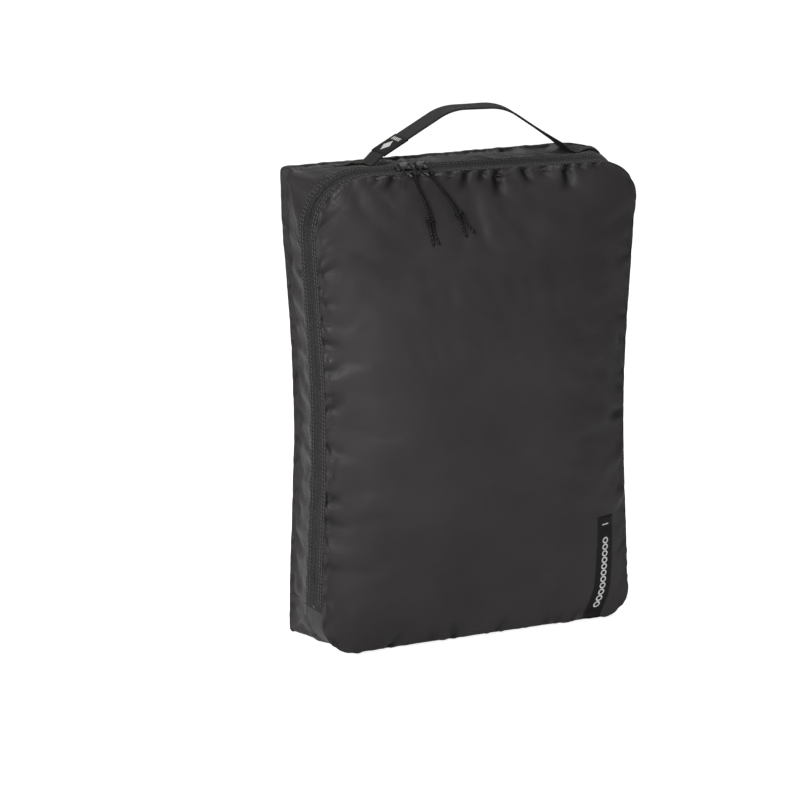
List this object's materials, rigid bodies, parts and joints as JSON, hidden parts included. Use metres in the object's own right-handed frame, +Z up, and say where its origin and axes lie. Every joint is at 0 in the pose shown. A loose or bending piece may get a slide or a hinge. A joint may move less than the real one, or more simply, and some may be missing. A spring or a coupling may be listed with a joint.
{
  "type": "packing cube",
  "caption": "Soft zipped travel packing cube: rounded rectangular bag with a gusset, a two-way zip with wire and cord pulls, a front that folds down, a top webbing handle and a corner label",
  "frame": {"origin": "middle of the base, on the surface the cube stands on; left to right midway between the sides, front to back midway between the crowns of the two panels", "axes": "+X to the right seen from the front, +Y from the front panel to the back panel, +Z up the cube to the handle"},
  "size_m": [0.25, 0.0961, 0.3941],
  "materials": {
    "shell_fabric": "thin coated nylon, black, soft satin sheen",
    "zip_tape": "woven zip tape, black, herringbone",
    "zip_coil": "nylon coil, black",
    "binding": "grosgrain seam binding, black",
    "webbing": "ribbed webbing, black",
    "label": "woven label, black with a pale pattern",
    "thread": "sewing thread, black",
    "dark_metal": "gunmetal plating",
    "cord": "thin braided cord, black"
  },
  "bodies": {
    "shell": {"back_panel": "shell_fabric", "top_gusset": "shell_fabric", "left_gusset": "shell_fabric", "right_gusset": "shell_fabric", "bottom_gusset": "shell_fabric", "front_panel_foot": "shell_fabric", "label_foot": "label", "gusset_zip_tape": "zip_tape", "gusset_zip_coil": "zip_coil", "zip_end_stop_left": "zip_coil", "zip_end_stop_right": "zip_coil", "back_seam_binding": "binding", "bottom_seam_binding": "binding", "handle_end_left": "webbing", "handle_end_right": "webbing", "handle_stitching_left": "thread", "handle_stitching_right": "thread", "handle_root_left": "webbing", "handle_root_right": "webbing"},
    "lid": {"front_panel": "shell_fabric", "lid_zip_tape": "zip_tape", "lid_zip_coil": "zip_coil", "lid_seam_binding": "binding", "label_strip": "label"},
    "slider_left": {"slider_left": "dark_metal"},
    "slider_right": {"slider_right": "dark_metal"},
    "pull_left": {"pull_wire_left": "dark_metal", "pull_cord_left_outer": "cord", "pull_cord_left_inner": "cord", "pull_knot_left": "cord"},
    "pull_right": {"pull_wire_right": "dark_metal", "pull_cord_right_outer": "cord", "pull_cord_right_inner": "cord", "pull_knot_right": "cord"},
    "handle": {"handle_strap": "webbing", "size_tag": "label"}
  },
  "joints": [
    {"name": "lid_fold", "type": "hinge", "parent": "shell", "child": "lid", "pos_m": [0, -0.037, 0.04], "axis": [1, 0, 0], "range_deg": [0, 95]},
    {"name": "slider_left_run", "type": "slide", "parent": "lid", "child": "slider_left", "axis": [-1, 0, 0], "range_m": [0, 0.025]},
    {"name": "slider_right_run", "type": "slide", "parent": "lid", "child": "slider_right", "axis": [1, 0, 0], "range_m": [0, 0.112]},
    {"name": "pull_left_swing", "type": "hinge", "parent": "slider_left", "child": "pull_left", "pos_m": [-0.051, -0.01545, 0.36037], "axis": [-1, 0, 0], "range_deg": [0, 140]},
    {"name": "pull_right_swing", "type": "hinge", "parent": "slider_right", "child": "pull_right", "pos_m": [-0.0385, -0.01545, 0.36037], "axis": [-1, 0, 0], "range_deg": [0, 140]},
    {"name": "handle_swing", "type": "hinge", "parent": "shell", "child": "handle", "pos_m": [0.013, 0.018, 0.3588], "axis": [-1, 0, 0], "range_deg": [-45, 45], "deforming": ["handle_root_left", "handle_root_right"]}
  ]
}
